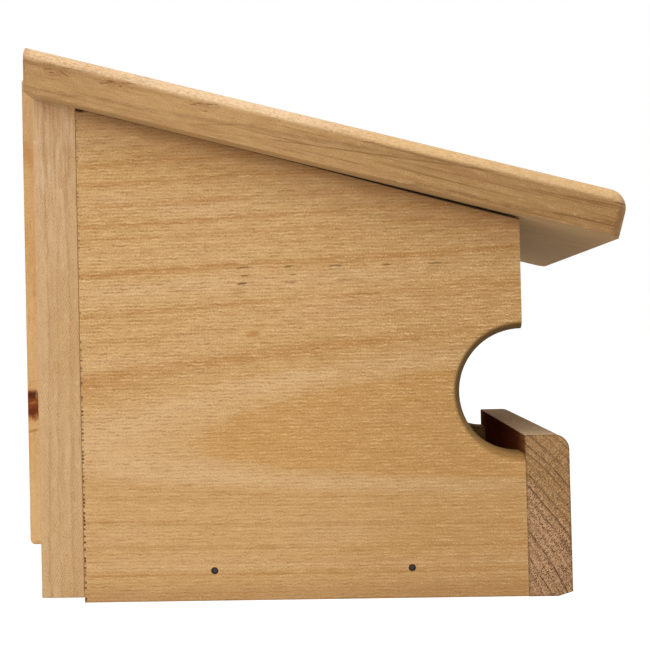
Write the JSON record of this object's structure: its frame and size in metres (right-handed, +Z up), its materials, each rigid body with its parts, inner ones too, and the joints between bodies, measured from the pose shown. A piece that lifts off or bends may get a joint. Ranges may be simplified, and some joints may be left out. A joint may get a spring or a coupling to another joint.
{
  "type": "birdhouse",
  "caption": "Open-front wooden nesting box: two side panels with half-round front notches, sloping roof, low front board, floor, back board and a rear mounting batten.",
  "frame": {"origin": "centre of the object's footprint, on the surface that the side panels stand on", "axes": "+Z up, -Y out of the open front, +Y out of the mounting batten's rear face, X across the box"},
  "size_m": [0.1746, 0.2772, 0.2444],
  "materials": {
    "side_pine": "bare planed softwood with fine saw marks",
    "back_pine": "bare planed softwood",
    "front_pine": "bare planed softwood",
    "floor_pine": "bare planed softwood",
    "roof_pine": "bare planed softwood, edges rounded over",
    "batten_pine": "bare planed softwood with knots",
    "nail_steel": "dull dark steel",
    "screw_steel": "zinc-plated steel"
  },
  "bodies": {
    "root": {"left_side": "side_pine", "right_side": "side_pine", "back_board": "back_pine", "front_board": "front_pine", "floor_board": "floor_pine", "roof_board": "roof_pine", "mounting_batten": "batten_pine", "left_floor_nails": "nail_steel", "right_floor_nails": "nail_steel", "left_back_nails": "nail_steel", "right_back_nails": "nail_steel", "left_front_nails": "nail_steel", "right_front_nails": "nail_steel", "left_roof_nails": "nail_steel", "right_roof_nails": "nail_steel", "floor_back_nails": "nail_steel", "floor_front_nails": "nail_steel", "back_roof_nails": "nail_steel", "batten_screws": "screw_steel"}
  },
  "joints": []
}
